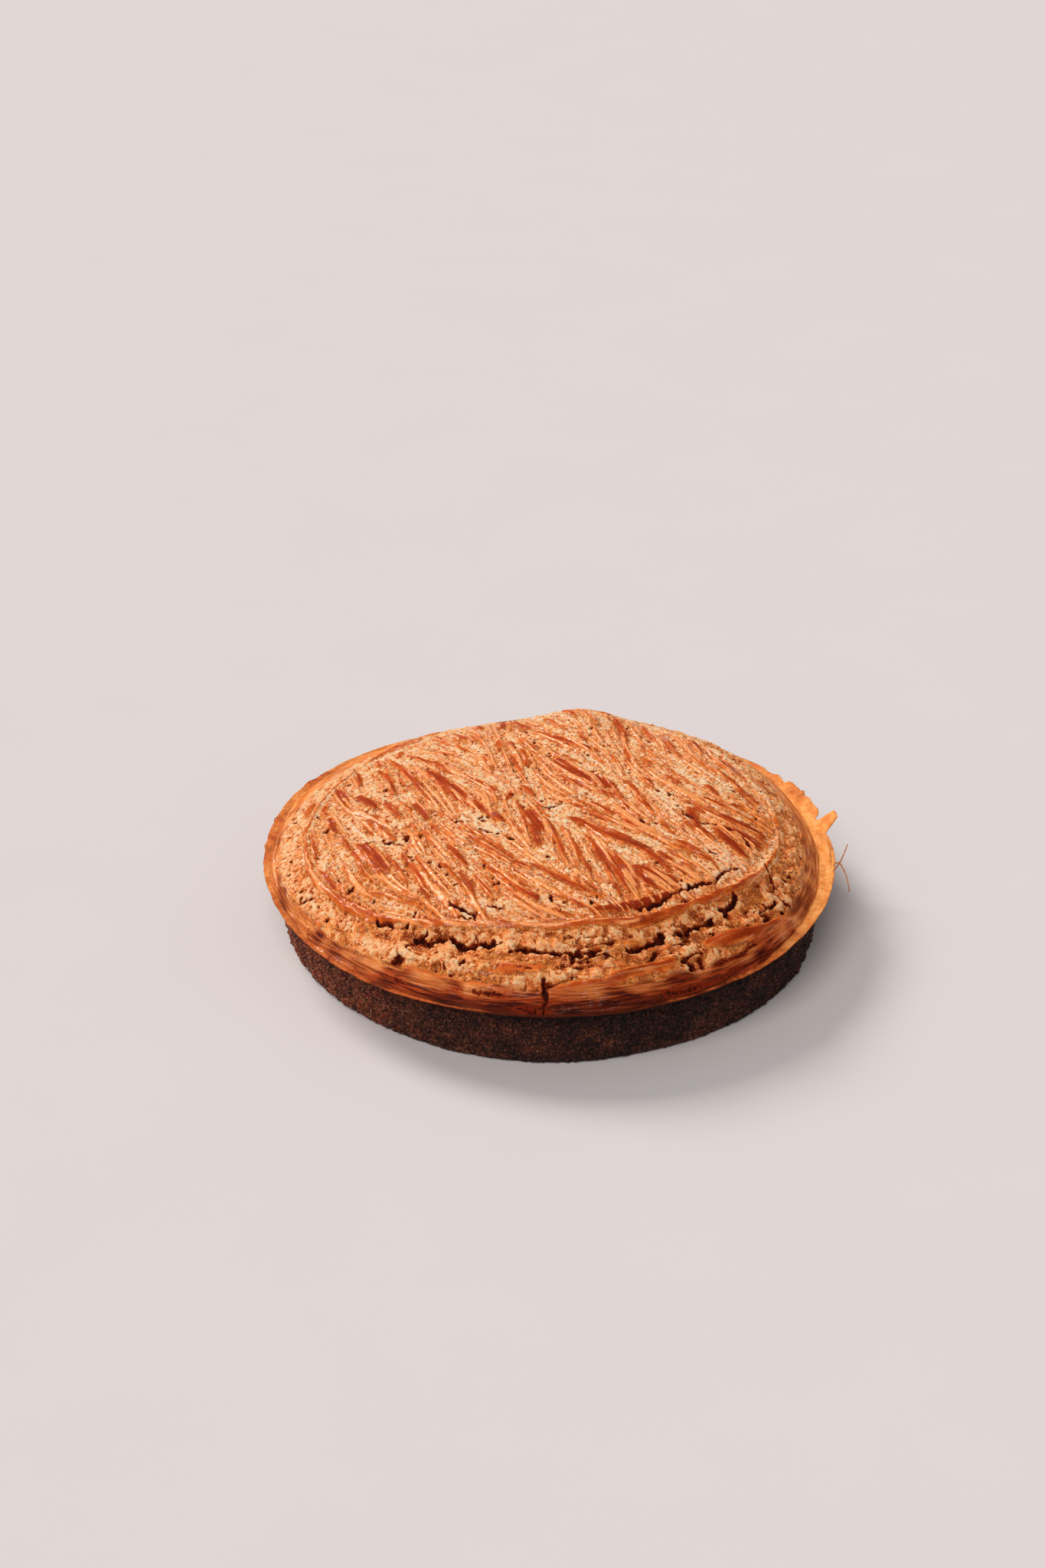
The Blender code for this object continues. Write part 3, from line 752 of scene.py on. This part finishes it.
def make_middle(name, material, cells, edge):
    """The middle of the top: a square grid bent to a disc, closed underneath by a blunt cone."""
    side = np.linspace(-1, 1, cells + 1)
    u, v = np.meshgrid(side, side)
    wide = np.abs(u) >= np.abs(v)
    radius = np.where(wide, np.abs(u), np.abs(v))
    slope = np.where(wide, v / np.where(u == 0, 1, u), u / np.where(v == 0, 1, v)) * math.pi / 4
    angle = np.where(
        wide,
        np.where(u >= 0, slope, slope + math.pi),
        np.where(v >= 0, math.pi / 2 - slope, -math.pi / 2 - slope),
    )
    radius = (radius * edge).ravel()
    angle = angle.ravel()
    x, y, z = crust_points(angle, radius)
    z = z - DIP * ramp(edge - OVERLAP, edge, radius)
    count = cells + 1
    index = np.arange(count * count).reshape(count, count)
    quads = np.stack([index[:-1, :-1], index[:-1, 1:], index[1:, 1:], index[1:, :-1]], axis=-1)
    border = np.concatenate([index[0, :-1], index[:-1, -1], index[-1, :0:-1], index[:0:-1, 0]])
    top = np.stack([x, y, z], axis=1)
    under = skirt_below(top[border], MIDDLE_SKIRT)
    points = np.concatenate([top, under, [[0.0, 0.0, MIDDLE_UNDERSIDE]]])
    ring = len(x) + np.arange(len(border))
    skirt = join_rows(border, ring)
    centre = np.full(len(border), len(points) - 1)
    fan = np.stack([ring, centre, np.roll(ring, -1)], axis=1)
    fields = top_fields(points[:, 0], points[:, 1])
    return make_piece(name, points, np.concatenate([quads.reshape(-1, 4), skirt]), fan, fields, material)


def make_band(name, material, columns, inner, outer, step):
    """A closed ring of the top between two radii; at radius one it ends in the lip."""
    turn = np.linspace(0, TAU, columns, endpoint=False)
    radii = np.linspace(inner, outer, max(2, round((outer - inner) / step) + 1))
    rows = []
    for radius in radii:
        x, y, z = crust_points(turn, np.full(columns, radius))
        z = z - DIP * (1 - ramp(inner, inner + OVERLAP, radius))
        if outer < 1:
            z = z - DIP * ramp(outer - OVERLAP, outer, radius)
        rows.append(np.stack([x, y, z], axis=1))
    fields = [top_fields(row[:, 0], row[:, 1]) for row in rows]
    flat = np.concatenate(rows)
    loose = read_grid(FIELDS["loose"], flat[:, 0], flat[:, 1])
    push, crease = crumble(*flat.T)
    size = (len(rows), columns)
    rows = list(push_out(rows, (push * loose).reshape(size)))
    # Crumb creases deepen the painted shade, and heaped crumbs lighten it.
    for field, extra in zip(fields, ((1.1 * crease - 0.30 * push) * loose).reshape(size)):
        field["hollow"] = field["hollow"] + extra
    first = rows[0]
    last = rows[-1]
    if outer < 1:
        rows.append(skirt_below(last, OUTER_SKIRT))
        fields.append(fields[-1])
    else:
        # The lip's turned-under rows: browning plus painted shade under the lip.
        underside_bake_and_shade = np.clip(fields[-1]["bake_and_shade"] + 0.3, 0, 1.4)
        under = dict(fields[-1], flange=np.ones(columns), depth=np.zeros(columns), bake_and_shade=underside_bake_and_shade)
        out = np.stack([np.cos(turn), np.sin(turn), np.zeros(columns)], axis=1)
        reach, lift = fin_shape(turn)
        thin = ramp(0.3, 2.0, lift)[:, None]
        fin = out * reach[:, None] + np.array([0, 0, 1.0]) * lift[:, None]
        for inward, down, thin_down, stay in LIP_FOLDS:
            drop = down + (thin_down - down) * thin
            row = last - out * inward - np.array([0, 0, 1.0]) * drop - fin * (1 - stay)
            rows.append(row)
            fields.append(under)
    rows.append(skirt_below(first, INNER_SKIRT))
    fields.append(fields[0])
    points = np.concatenate(rows)
    quads = grid_faces(len(rows), columns, True)
    start = np.arange(columns)
    seam = join_rows((len(rows) - 1) * columns + start, start)
    merged = {key: np.concatenate([part[key] for part in fields]) for key in SHOWN_FIELDS}
    no_faces = np.zeros((0, 3), int)
    return make_piece(name, points, np.concatenate([quads, seam]), no_faces, merged, material)


def make_side(material, columns, layers):
    """The crumbly side, the base, and a closed top hidden under the crust."""
    turn = np.linspace(0, TAU, columns, endpoint=False)
    lip = lip_reach(turn)
    foot = around(FOOT_REACH, turn) + ripple(SIDE_RIPPLES, turn)
    under = around(LIP_HEIGHT, turn) - SIDE_TOP_DROP
    rows = []
    straight = [(level, 0.0) for level in np.linspace(1, STRAIGHT_DOWN_TO, layers)]
    for level, tuck in straight + list(FOOT_CURVE):
        radius = 100 * (foot + (SIDE_TOP_REACH * lip - foot) * level) - tuck
        rows.append(np.stack([radius * np.cos(turn), radius * np.sin(turn), under * level], axis=1))
    points = np.concatenate(rows)
    x, y, z = points.T
    out = np.tile(np.stack([np.cos(turn), np.sin(turn)], axis=1), (len(rows), 1))
    near, grain = lumps(1.5, 121, x, y, z)
    near_big, _ = lumps(3.6, 125, x, y, z)
    rough = 1.3 * (0.5 - near) + 0.8 * (0.5 - near_big) + 0.5 * fractal(5, 3, 131, x, y, z)
    rough += 0.35 * noise(0.8, 141, x, y, z)
    below_top = z - np.tile(under, len(rows))
    keep = ramp(0.0, 1.0, z) * (1 - ramp(-1.5, 0.0, below_top))
    rough = rough * keep - CRUMB_INSET
    points[:, :2] += out * rough[:, None]
    cap = np.stack([CAP_RADIUS * np.cos(turn), CAP_RADIUS * np.sin(turn), under + CAP_RISE], axis=1)
    points = np.concatenate([cap, points, [[0, 0, CAP_PEAK], [0, 0, 0]]])
    quads = grid_faces(len(rows) + 1, columns, True)
    first = np.arange(columns)
    last = len(rows) * columns + first
    top = np.full(columns, len(points) - 2)
    bottom = np.full(columns, len(points) - 1)
    lid = np.stack([top, first, np.roll(first, -1)], axis=1)
    base = np.stack([last, bottom, np.roll(last, -1)], axis=1)
    pad = np.zeros(columns)
    # Painted shade by angle round the side, with some random spread.
    side_shade = np.clip(around(SIDE_SHADE, np.tile(turn, len(rows))) + 0.25 * noise(7, 143, x, y, z), 0, 1)
    # Painted shadow under the lip: the top of the side darkens, more where its painted shade is strong.
    shade = 0.45 * ramp(-7.0, -1.0, below_top) * side_shade
    fields = {
        "side_shade": np.concatenate([pad, side_shade, [0, 0]]),
        "grain": np.concatenate([pad, grain, [0, 0]]),
        # hollow: painted shade in the crevices between the crumbs, and the painted shadow under the lip.
        "hollow": np.concatenate([pad, 0.6 * (near_big - 0.5) + 0.9 * (near - 0.5) + shade, [0, 0]]),
    }
    return make_piece("crumb_side", points, quads, np.concatenate([lid, base]), fields, material)


def smooth_line(knots, count):
    """Points along a smooth open curve through the knots."""
    knots = np.array(knots, float)
    padded = np.concatenate([[2 * knots[0] - knots[1]], knots, [2 * knots[-1] - knots[-2]]])
    place = np.linspace(0, len(knots) - 1.001, count)
    index = place.astype(int)
    t = (place - index)[:, None]
    return curve_between(t, *(padded[index + step] for step in range(4)))


def make_wisps(material, count=24, sides=8):
    """The threads of crust, as closed tubes that taper to their tips."""
    points = []
    quads = []
    caps = []
    for knots in WISPS:
        line = smooth_line(knots, count)
        along = np.gradient(line, axis=0)
        along /= np.linalg.norm(along, axis=1, keepdims=True)
        across = np.cross(along, (0, 0, 1.0))
        across /= np.linalg.norm(across, axis=1, keepdims=True)
        over = np.cross(across, along)
        first = len(points)
        for centre, u, v, share in zip(line, across, over, np.linspace(1.0, 0.6, count)):
            for turn in TAU * np.arange(sides) / sides:
                points.append(centre + WISP_RADIUS * share * (u * math.cos(turn) + v * math.sin(turn)))
        quads.append(first + grid_faces(count, sides, True))
        for ring, order, centre in ((first, 1, line[0]), (first + (count - 1) * sides, -1, line[-1])):
            points.append(centre)
            for side in range(sides):
                pair = [ring + side, ring + (side + 1) % sides][::order]
                caps.append([len(points) - 1] + pair)
    points = np.array(points)
    fields = {key: np.zeros(len(points)) for key in SHOWN_FIELDS}
    fields["flange"] += 1.0
    fields["bake_and_shade"] += 0.35
    make_piece("crust_wisps", points, np.concatenate(quads), np.array(caps), fields, material)


# ---- materials -------------------------------------------------------------------------------
def srgb(red, green, blue):
    """A colour from its 0 to 255 screen values, as the linear numbers that shaders use."""
    def linear(value):
        value = value / 255
        return value / 12.92 if value <= 0.04045 else ((value + 0.055) / 1.055) ** 2.4
    return (linear(red), linear(green), linear(blue), 1.0)


class Nodes:
    """A short way to write a material's nodes."""

    def __init__(self, name):
        self.material = bpy.data.materials.new(name)
        self.material.use_nodes = True
        self.tree = self.material.node_tree
        self.shader = self.tree.nodes["Principled BSDF"]

    def link(self, value, socket):
        if isinstance(value, bpy.types.NodeSocket):
            self.tree.links.new(value, socket)
        else:
            socket.default_value = value

    def set(self, **inputs):
        """Set the shader's inputs; an underscore stands for a space."""
        for name, value in inputs.items():
            self.link(value, self.shader.inputs[name.replace("_", " ")])

    def field(self, name):
        node = self.tree.nodes.new("ShaderNodeAttribute")
        node.attribute_name = name
        return node.outputs["Fac"]

    def place(self):
        return self.tree.nodes.new("ShaderNodeTexCoord").outputs["Object"]

    def noise_at(self, place, scale, detail, roughness):
        node = self.tree.nodes.new("ShaderNodeTexNoise")
        self.link(place, node.inputs["Vector"])
        node.inputs["Scale"].default_value = scale
        node.inputs["Detail"].default_value = detail
        node.inputs["Roughness"].default_value = roughness
        return node.outputs["Fac"]

    def noise(self, size, detail=3.0, roughness=0.55):
        return self.noise_at(self.place(), 1 / (size * UNIT), detail, roughness)

    def hoops(self, along, across, detail=3.0, roughness=0.6):
        """Noise drawn out along circles round the cake's middle."""
        split = self.tree.nodes.new("ShaderNodeSeparateXYZ")
        self.link(self.place(), split.inputs[0])
        x, y, z = split.outputs
        down = self.less(self.math("SQRT", self.add(self.times(x, x), self.times(y, y))), z)
        join = self.tree.nodes.new("ShaderNodeCombineXYZ")
        for socket, value, size in zip(join.inputs, (x, y, down), (along, along, across)):
            self.link(self.times(value, 1 / (size * UNIT)), socket)
        return self.noise_at(join.outputs[0], 1.0, detail, roughness)

    def math(self, kind, a, b=0.0):
        node = self.tree.nodes.new("ShaderNodeMath")
        node.operation = kind
        self.link(a, node.inputs[0])
        self.link(b, node.inputs[1])
        return node.outputs[0]

    def add(self, a, b):
        return self.math("ADD", a, b)

    def less(self, a, b):
        return self.math("SUBTRACT", a, b)

    def times(self, first, *others):
        for other in others:
            first = self.math("MULTIPLY", first, other)
        return first

    def about(self, value, middle, gain):
        """How far a value lies from a middle one, times a gain."""
        return self.times(self.less(value, middle), gain)

    def ease(self, value, low, high, start=0.0, end=1.0):
        node = self.tree.nodes.new("ShaderNodeMapRange")
        node.interpolation_type = "SMOOTHSTEP"
        self.link(value, node.inputs["Value"])
        for key, number in (("From Min", low), ("From Max", high), ("To Min", start), ("To Max", end)):
            node.inputs[key].default_value = number
        return node.outputs["Result"]

    def mix(self, share, a, b):
        """Mix two colours, each a socket or the 0 to 255 screen values of red, green and blue."""
        node = self.tree.nodes.new("ShaderNodeMix")
        node.data_type = "RGBA"
        self.link(share, node.inputs["Factor"])
        for colour, socket in ((a, node.inputs[6]), (b, node.inputs[7])):
            self.link(srgb(*colour) if isinstance(colour, tuple) else colour, socket)
        return node.outputs[2]

    def coats(self, colour, *coats):
        """Lay coats over a colour, each as (its share, its colour)."""
        for share, coat in coats:
            colour = self.mix(share, colour, coat)
        return colour

    def bump(self, height, distance):
        node = self.tree.nodes.new("ShaderNodeBump")
        node.inputs["Strength"].default_value = 1.0
        node.inputs["Distance"].default_value = distance * UNIT
        self.link(height, node.inputs["Height"])
        return node.outputs["Normal"]


def crust_material():
    """Pale crumb in the furrows, egg-washed strips, splits painted dark as shade, and the tan flange."""
    n = Nodes("glazed_crust")
    glaze, depth, bake_and_shade, band, flange, outer, hollow, hoop, streak = map(n.field, SHOWN_FIELDS)
    rings = n.hoops(9.0, 0.8)
    hoop = n.add(n.times(hoop, 0.5), n.about(rings, 0.5, 5.0))
    blotch = n.ease(n.noise(4.0, 5), 0.38, 0.62)
    # Browning, with painted shade at the front of the band and the flange.
    toast_and_shade = n.ease(bake_and_shade, 0.25, 1.0)

    # where the egg wash lies, how thick it is, and the tint that it leaves beside itself
    edge = n.add(glaze, n.about(n.noise(0.8, 4, 0.65), 0.5, 1.5))
    wash = n.ease(edge, -0.10, 0.14)
    halo = n.times(n.ease(edge, -0.9, -0.05), n.ease(n.noise(2.4, 3), 0.3, 0.55))
    thick = n.ease(n.add(glaze, n.times(n.noise(1.8, 4), 1.2)), 0.6, 1.9)
    near = n.times(n.ease(glaze, -3.6, -1.4, 0.45, 1.0), n.ease(outer, 0.9, 0.1))

    # the crumb: pale among the strips, golden outside them, with painted shade in its hollows and painted
    # light on its raised grains
    grit = n.add(n.times(n.noise(0.7, 4, 0.7), 0.5), n.times(n.noise(1.9, 4, 0.65), 0.5))
    # cavity: the hollows, and the low points of the bumped grit, where shade is painted.
    cavity = n.add(n.times(hollow, 1.1), n.about(grit, 0.5, -4.2))
    golden = n.mix(blotch, (255, 206, 152), (255, 168, 106))
    pale = n.mix(blotch, (255, 222, 178), (255, 196, 138))
    drawn = n.times(n.ease(n.hoops(11.0, 1.3), 0.48, 0.62), n.ease(outer, 0.3, 0.9, 0.0, 0.3))
    raised = n.mix(near, (255, 226, 178), (255, 238, 206))
    # Painted glints: light specks on the tops of the fine grit.
    glint_specks = n.mix(near, (255, 212, 156), (255, 234, 196))
    crumb = n.coats(
        n.mix(near, golden, pale),
        # Painted light on raised grains, then painted shade, warm and then dark, in the hollows.
        (n.ease(cavity, -0.04, -0.35, 0.0, 0.8), raised),
        (n.ease(cavity, 0.07, 0.38, 0.0, 0.86), (232, 108, 41)),
        (n.ease(cavity, 0.36, 0.72, 0.0, 0.92), (116, 24, 6)),
        (n.ease(bake_and_shade, 0.5, 1.0, 0.0, 0.35), (226, 114, 46)),
        (n.times(halo, 0.75), (250, 152, 66)),
        (drawn, (222, 112, 50)),
        # Painted shade of tiny pores, as dark specks.
        (n.ease(n.noise(0.8, 3, 0.7), 0.405, 0.35, 0.0, 0.85), (150, 48, 14)),
        # Painted glints in small specks.
        (n.ease(n.noise(0.7, 3, 0.7), 0.57, 0.63, 0.0, 0.6), glint_specks),
    )

    # the strips of egg wash
    thin_wash = n.mix(blotch, (218, 114, 44), (194, 88, 28))
    full_wash = n.mix(n.ease(bake_and_shade, 0.2, 1.0), (180, 70, 18), (120, 32, 6))
    rim = n.mix(n.ease(n.noise(3.0, 3), 0.40, 0.56), (246, 150, 70), (132, 38, 8))
    washed = n.coats(
        n.mix(thick, thin_wash, full_wash),
        # Lighter lines along the strokes, and the painted highlight on the ring's top.
        (n.ease(streak, 0.4, 2.0, 0.0, 0.75), (240, 156, 86)),
        (n.ease(streak, -0.1, -1.6, 0.0, 0.65), (132, 36, 6)),
        (n.ease(edge, 0.45, 0.10, 0.0, 0.5), rim),
        # Painted shade in the hollows of the glaze.
        (n.ease(cavity, 0.12, 0.42, 0.0, 0.5), (124, 34, 8)),
    )

    # the glossy band, with grooves round it painted dark as shade
    low = n.mix(toast_and_shade, (200, 98, 42), (78, 18, 7))
    high = n.mix(toast_and_shade, (240, 150, 78), (160, 60, 22))
    grooves = n.times(n.ease(n.hoops(12.0, 1.1, 2.0), 0.44, 0.38), n.ease(bake_and_shade, 0.4, 0.9, 0.05, 0.85))
    polished = n.coats(
        n.mix(n.ease(hoop, -0.6, 0.6), low, high),
        (n.ease(hoop, 0.5, 1.1, 0.0, 0.7), n.mix(toast_and_shade, (252, 176, 108), (190, 84, 34))),
        # Near-black at the front of the band: browning and painted shade.
        (n.ease(bake_and_shade, 1.0, 1.3, 0.0, 0.7), (60, 16, 9)),
        # Grooves drawn as dark lines: painted shade.
        (grooves, n.mix(toast_and_shade, (150, 56, 20), (30, 8, 6))),
    )

    # the tan flange at the edge
    bright = n.mix(n.ease(n.noise(2.6, 6, 0.65), 0.35, 0.65), (234, 162, 92), (212, 124, 58))
    brown = n.mix(n.ease(n.noise(1.8, 6, 0.65), 0.35, 0.65), (206, 104, 46), (140, 54, 22))
    tan = n.coats(
        n.mix(n.ease(bake_and_shade, 0.1, 0.9), bright, brown),
        (n.ease(hoop, -0.4, -1.0, 0.0, 0.3), (190, 92, 36)),
        # Near-black at the front of the flange: browning and painted shade.
        (n.ease(bake_and_shade, 0.75, 1.25, 0.0, 0.95), (60, 19, 10)),
    )

    # Painted shade in the splits, pits and grooves, with ragged edges.
    depth = n.add(depth, n.times(n.less(n.noise(0.9, 4, 0.65), 0.5), n.ease(depth, 0.05, 0.3, 0.0, 1.6)))
    dark = n.mix(n.ease(depth, 0.4, 0.85), (128, 38, 13), (48, 10, 5))
    colour = n.coats(crumb, (wash, washed), (band, polished), (flange, tan), (n.ease(depth, 0.15, 0.5), dark))

    # gloss on the washed ridges and the band, and none in the splits
    polish = n.math("MAXIMUM", wash, band)
    gloss = n.add(streak, n.about(n.noise(2.4, 4), 0.5, 7.0))
    gloss = n.add(gloss, n.times(n.less(rings, 0.54), n.times(band, 10.0)))
    shine = n.times(
        polish,
        n.ease(gloss, 0.35, 1.1, 0.03, 1.0),
        n.ease(flange, 0.3, 0.8, 1.0, 0.1),
        n.ease(depth, 0.05, 0.3, 1.0, 0.0),
        n.ease(bake_and_shade, 0.6, 1.0, 1.0, 0.22),
    )

    # fine grain on the crumb and wrinkles on the glaze
    bumps = n.times(grit, n.ease(polish, 0.0, 1.0, 1.0, 0.12))
    wrinkle = n.times(n.noise(1.6, 3), n.ease(polish, 0.0, 1.0, 0.0, 0.15))
    wrinkle = n.add(wrinkle, n.times(rings, n.times(band, 0.35)))
    n.set(
        Base_Color=colour,
        Roughness=n.ease(polish, 0.0, 1.0, 0.85, 0.6),
        Specular_IOR_Level=0.04,
        Normal=n.bump(n.add(bumps, wrinkle), 2.2),
        Coat_Weight=shine,
        Coat_Roughness=0.10,
        Coat_IOR=1.45,
        Coat_Normal=n.bump(n.noise(2.2, 3, 0.5), 0.9),
        Subsurface_Weight=0.2,
        Subsurface_Radius=(1.0, 0.35, 0.14),
        Subsurface_Scale=0.5 * UNIT,
    )
    return n.material


def side_material():
    """Dark, sandy crumb with paler grains and a few golden ones, darker at the front right as painted shade.
    """
    n = Nodes("browned_side")
    side_shade = n.field("side_shade")
    tone = n.ease(n.noise(4.0, 4), 0.35, 0.65)
    # Lit and shaded copies of the same crumb colour, mixed by the painted shade round the side.
    lit_side_tone = n.mix(tone, (184, 72, 42), (112, 38, 23))
    shaded_side_tone = n.mix(tone, (32, 12, 10), (17, 7, 7))
    # The grains and golden flecks dim with the same painted shade.
    sand = n.mix(side_shade, (180, 84, 48), (72, 32, 24))
    gold = n.mix(side_shade, (255, 182, 128), (140, 72, 48))
    base = n.coats(
        n.mix(side_shade, lit_side_tone, shaded_side_tone),
        (n.ease(n.field("grain"), 0.45, 0.9, 0.0, 0.7), sand),
        # Golden flecks: partly paler grains, partly painted glints.
        (n.ease(n.noise(0.75, 4, 0.75), 0.54, 0.59, 0.0, 0.95), gold),
        # Dark specks: painted shade in small pits.
        (n.ease(n.noise(1.0, 4, 0.75), 0.48, 0.42), (20, 8, 8)),
        # Painted shade in the crevices and under the lip.
        (n.ease(n.field("hollow"), 0.0, 0.6, 0.0, 0.8), (26, 11, 9)),
    )
    normal = n.bump(n.noise(1.0, 5, 0.75), 2.0)
    n.set(Base_Color=base, Roughness=0.7, Specular_IOR_Level=0.25, Normal=normal)
    return n.material


def floor_material():
    """A pale, nearly even table top."""
    n = Nodes("pale_floor")
    stone = n.mix(n.noise(60, 4), (197, 190, 189), (194, 187, 187))
    n.set(Base_Color=stone, Roughness=0.85, Specular_IOR_Level=0.2)
    return n.material


# ---- stage, light and camera -----------------------------------------------------------------
def make_stage():
    """The floor that the cake stands on."""
    bpy.ops.mesh.primitive_plane_add(size=14.0, location=(0, 3.0, 0))
    floor = bpy.context.object
    floor.name = "floor"
    floor.data.materials.append(floor_material())


def add_sun(name, strength, azimuth, elevation, spread):
    """A far light: where it stands round the cake and above the table, and its width, in degrees."""
    light = bpy.data.lights.new(name, "SUN")
    light.energy = strength
    light.angle = math.radians(spread)
    light.color = (1.0, 0.968, 0.935)
    sun = bpy.data.objects.new(name, light)
    turn = math.radians(azimuth)
    height = math.radians(elevation)
    level = math.cos(height)
    towards = Vector((level * math.cos(turn), level * math.sin(turn), math.sin(height)))
    sun.rotation_mode = "QUATERNION"
    sun.rotation_quaternion = towards.to_track_quat("Z", "Y")
    sun.location = towards * 2
    bpy.context.scene.collection.objects.link(sun)


def make_lights():
    """A sun from the back left, a softer one from the front, and an even sky."""
    add_sun("key", 2.6, 134, 40, 26)
    add_sun("fill", 2.1, 250, 52, 40)
    world = bpy.data.worlds.new("studio")
    world.use_nodes = True
    background = world.node_tree.nodes["Background"]
    background.inputs["Color"].default_value = (0.98, 0.98, 1.0, 1.0)
    background.inputs["Strength"].default_value = 0.30
    bpy.context.scene.world = world


def make_camera():
    """A 70 mm lens at 31 degrees above the table, 10.7 lip radii from the middle of the base."""
    camera = bpy.data.cameras.new("camera")
    camera.lens = 70.0
    camera.sensor_width = 36.0
    camera.sensor_fit = "AUTO"
    distance = 10.72 * 100 * UNIT
    rise = math.radians(31.1)
    pitch = math.radians(28.61)
    yaw = math.radians(0.57)
    eye = bpy.data.objects.new("camera", camera)
    away = distance * math.cos(rise)
    eye.location = (-CENTRE[0] * UNIT, -away - CENTRE[1] * UNIT, distance * math.sin(rise))
    eye.rotation_euler = (math.pi / 2 - pitch, 0, yaw)
    bpy.context.scene.collection.objects.link(eye)
    bpy.context.scene.camera = eye


def main():
    """Make every piece, then the stage, the lights and the camera."""
    crust = crust_material()
    make_middle("crust_middle", crust, cells=280, edge=0.46)
    for name, columns, inner, outer, step in BANDS:
        make_band(name, crust, columns, inner, outer, step)
    make_wisps(crust)
    side = make_side(side_material(), columns=1600, layers=46)
    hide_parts("cake")
    make_stage()
    make_lights()
    make_camera()
    bpy.context.scene.view_settings.view_transform = "Standard"


main()
